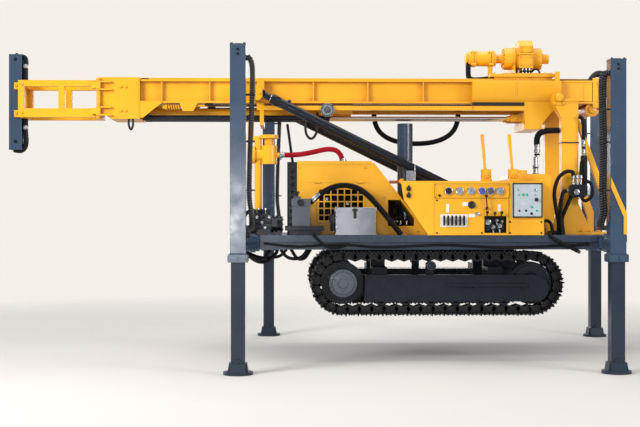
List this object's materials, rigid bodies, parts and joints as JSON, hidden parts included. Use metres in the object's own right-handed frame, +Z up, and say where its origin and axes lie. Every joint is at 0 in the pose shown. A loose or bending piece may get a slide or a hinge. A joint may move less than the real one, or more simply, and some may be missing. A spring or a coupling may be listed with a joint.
{
  "type": "crawler water well drilling rig",
  "caption": "Tracked well drilling rig on jack legs, with a tilting, sliding mast, rotary head, lift cylinders, engine hood and operator's console.",
  "frame": {"origin": "on the floor, under the middle of the rig's overall box", "axes": "+X towards the drilling end, +Z up, -Y towards the operator's side"},
  "size_m": [6.509, 3.7488, 3.186],
  "materials": {
    "yellow": "satin machine yellow paint",
    "slate": "satin dark slate blue paint",
    "black_paint": "black paint",
    "track_steel": "dark steel shoes",
    "chrome": "hard chrome",
    "steel": "bright steel",
    "panel_grey": "light grey paint",
    "hose_black": "black hose cover",
    "hose_red": "red hose cover"
  },
  "bodies": {
    "base": {"air_valve": "yellow", "arch_hose": "hose_black", "chassis_frame": "slate", "console": "yellow", "console_controls": "black_paint", "deck_plate": "slate", "electric_box": "panel_grey", "engine_block": "black_paint", "gauge_plate": "steel", "hand_levers": "yellow", "hood_roof": "yellow", "hood_side_far": "yellow", "hood_side_near": "yellow", "hood_slope": "yellow", "leg_hinges": "slate", "lift_brackets": "slate", "lubricator": "slate", "mast_posts": "yellow", "mast_rest": "slate", "oil_tank": "yellow", "radiator": "black_paint", "red_hose": "hose_red", "toolbox": "steel", "track_far": "track_steel", "track_frame_far": "black_paint", "track_frame_near": "black_paint", "track_near": "track_steel", "track_wheels": "black_paint", "valve_bank": "black_paint"},
    "cradle": {"cradle": "yellow", "slide_rods": "chrome", "mast_hose": "hose_black"},
    "mast": {"mast_beam": "yellow", "mast_tip_box": "yellow", "feed_cylinder": "yellow", "feed_chain": "black_paint", "feed_wheels": "steel", "slide_barrels": "black_paint"},
    "head": {"head_carriage": "yellow", "head_gearbox": "yellow"},
    "spindle": {"spindle": "steel"},
    "tip": {"tip_frame": "yellow", "tip_beam": "slate"},
    "lift_barrel": {"lift_barrels": "black_paint"},
    "lift_rod": {"lift_rods": "chrome"},
    "leg_arm_front_near": {"leg_housing_front_near": "slate", "leg_hose_front_near": "hose_black"},
    "leg_foot_front_near": {"leg_ram_front_near": "slate"},
    "leg_arm_front_far": {"leg_housing_front_far": "slate", "leg_hose_front_far": "hose_black"},
    "leg_foot_front_far": {"leg_ram_front_far": "slate"},
    "leg_arm_rear_near": {"leg_housing_rear_near": "slate", "leg_hose_rear_near": "hose_black"},
    "leg_foot_rear_near": {"leg_ram_rear_near": "slate"},
    "leg_arm_rear_far": {"leg_housing_rear_far": "slate", "leg_hose_rear_far": "hose_black"},
    "leg_foot_rear_far": {"leg_ram_rear_far": "slate"}
  },
  "joints": [
    {"name": "mast_raise", "type": "hinge", "parent": "base", "child": "cradle", "pos_m": [2.26054, 0, 2.57], "axis": [0, 1, 0], "range_deg": [0, 90]},
    {"name": "mast_slide", "type": "slide", "parent": "cradle", "child": "mast", "axis": [1, 0, 0], "range_m": [0, 0.85]},
    {"name": "head_feed", "type": "slide", "parent": "mast", "child": "head", "axis": [-1, 0, 0], "range_m": [0, 3.3]},
    {"name": "spindle_turn", "type": "hinge", "parent": "head", "child": "spindle", "pos_m": [2.21054, 0, 3.01], "axis": [1, 0, 0], "continuous": true},
    {"name": "tip_fold", "type": "hinge", "parent": "mast", "child": "tip", "pos_m": [-2.31846, -0.283, 2.57], "axis": [0, 0, -1], "range_deg": [-165, 0]},
    {"name": "lift_swing", "type": "hinge", "parent": "base", "child": "lift_barrel", "pos_m": [1.50054, 0, 1.53], "axis": [0, 1, 0], "range_deg": [0, 75.62]},
    {"name": "lift_extend", "type": "slide", "parent": "lift_barrel", "child": "lift_rod", "axis": [-0.8977, 0, 0.4406], "range_m": [0, 1.6338]},
    {"name": "leg_swing_front_near", "type": "hinge", "parent": "base", "child": "leg_arm_front_near", "pos_m": [-0.75946, -0.97, 1.141], "axis": [0, 0, -1], "range_deg": [-28, 82]},
    {"name": "leg_jack_front_near", "type": "slide", "parent": "leg_arm_front_near", "child": "leg_foot_front_near", "axis": [0, 0, 1], "range_m": [-0.4, 0.84]},
    {"name": "leg_swing_front_far", "type": "hinge", "parent": "base", "child": "leg_arm_front_far", "pos_m": [-0.75946, 0.97, 1.141], "axis": [0, 0, 1], "range_deg": [-12, 98]},
    {"name": "leg_jack_front_far", "type": "slide", "parent": "leg_arm_front_far", "child": "leg_foot_front_far", "axis": [0, 0, 1], "range_m": [-0.4, 0.84]},
    {"name": "leg_swing_rear_near", "type": "hinge", "parent": "base", "child": "leg_arm_rear_near", "pos_m": [2.60054, -0.97, 1.141], "axis": [0, 0, 1], "range_deg": [-12, 98]},
    {"name": "leg_jack_rear_near", "type": "slide", "parent": "leg_arm_rear_near", "child": "leg_foot_rear_near", "axis": [0, 0, 1], "range_m": [-0.4, 0.84]},
    {"name": "leg_swing_rear_far", "type": "hinge", "parent": "base", "child": "leg_arm_rear_far", "pos_m": [2.60054, 0.97, 1.141], "axis": [0, 0, -1], "range_deg": [-62, 48]},
    {"name": "leg_jack_rear_far", "type": "slide", "parent": "leg_arm_rear_far", "child": "leg_foot_rear_far", "axis": [0, 0, 1], "range_m": [-0.4, 0.84]}
  ],
  "couplings": [
    {"joint": "lift_swing", "follows": "mast_raise", "ratio": 0.83471},
    {"joint": "lift_extend", "follows": "mast_raise", "m_per_rad": 1.0369}
  ]
}
